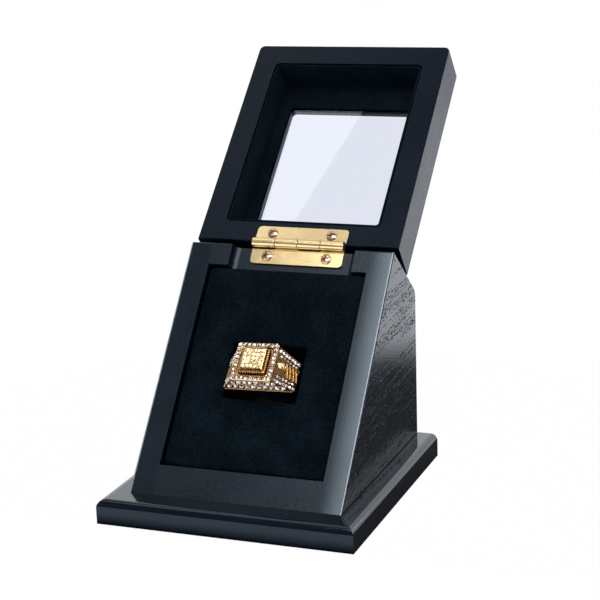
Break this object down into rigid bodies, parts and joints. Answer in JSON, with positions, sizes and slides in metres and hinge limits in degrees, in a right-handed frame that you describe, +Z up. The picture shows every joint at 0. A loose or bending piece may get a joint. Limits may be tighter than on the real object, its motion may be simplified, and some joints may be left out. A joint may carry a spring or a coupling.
{
  "type": "ring display case",
  "caption": "Slant-front black wooden display case for a finger ring, with a slotted velvet pad and a hinged, glass-windowed lid that folds back open; a jewelled ring sits in the slot.",
  "frame": {"origin": "centre of the base board's underside, which is the face that the case stands on", "axes": "+Z up, +Y towards the back, so that the sloping pad faces -Y, and +X to the right seen from the front, along the hinge pin; modelled with the lid open"},
  "size_m": [0.0896, 0.1508, 0.1416],
  "materials": {
    "black_wood": "satin black paint over open-pored wood",
    "raw_board": "bare fibreboard",
    "velvet": "blue-black velvet over foam",
    "liner": "black flocked card",
    "brass": "polished",
    "screw_brass": "pale brass plate",
    "steel": "zinc plated",
    "glass": "clear",
    "gold": "polished gold plate",
    "white_stone": "clear cut crystal",
    "yellow_stone": "pale yellow cut crystal"
  },
  "bodies": {
    "case": {"base_board": "black_wood", "base_screws": "steel", "left_side_panel": "black_wood", "right_side_panel": "black_wood", "front_bottom_rail": "black_wood", "hinge_rail": "black_wood", "top_panel": "black_wood", "back_panel": "black_wood", "pad_support_board": "raw_board", "velvet_pad": "velvet", "body_hinge_leaf": "brass", "body_leaf_screws": "screw_brass", "hinge_pin": "brass", "ring_band": "gold", "ring_head": "gold", "ring_crown": "gold", "ring_halo_stones": "white_stone", "ring_centre_stones": "yellow_stone", "ring_gallery_stones": "white_stone", "ring_shoulder_stones": "white_stone"},
    "lid": {"lid_left_stile": "black_wood", "lid_right_stile": "black_wood", "lid_hinge_rail": "black_wood", "lid_top_rail": "black_wood", "lid_liner_left": "liner", "lid_liner_right": "liner", "lid_liner_hinge": "liner", "lid_liner_top": "liner", "lid_liner_mat": "liner", "window_glass": "glass", "lid_window_panel": "black_wood", "lid_hinge_leaf": "brass", "lid_leaf_screws": "screw_brass"}
  },
  "joints": [
    {"name": "lid_hinge", "type": "hinge", "parent": "case", "child": "lid", "pos_m": [0.0018, 0.02491, 0.08091], "axis": [1, 0, 0], "range_deg": [0, 188]}
  ]
}
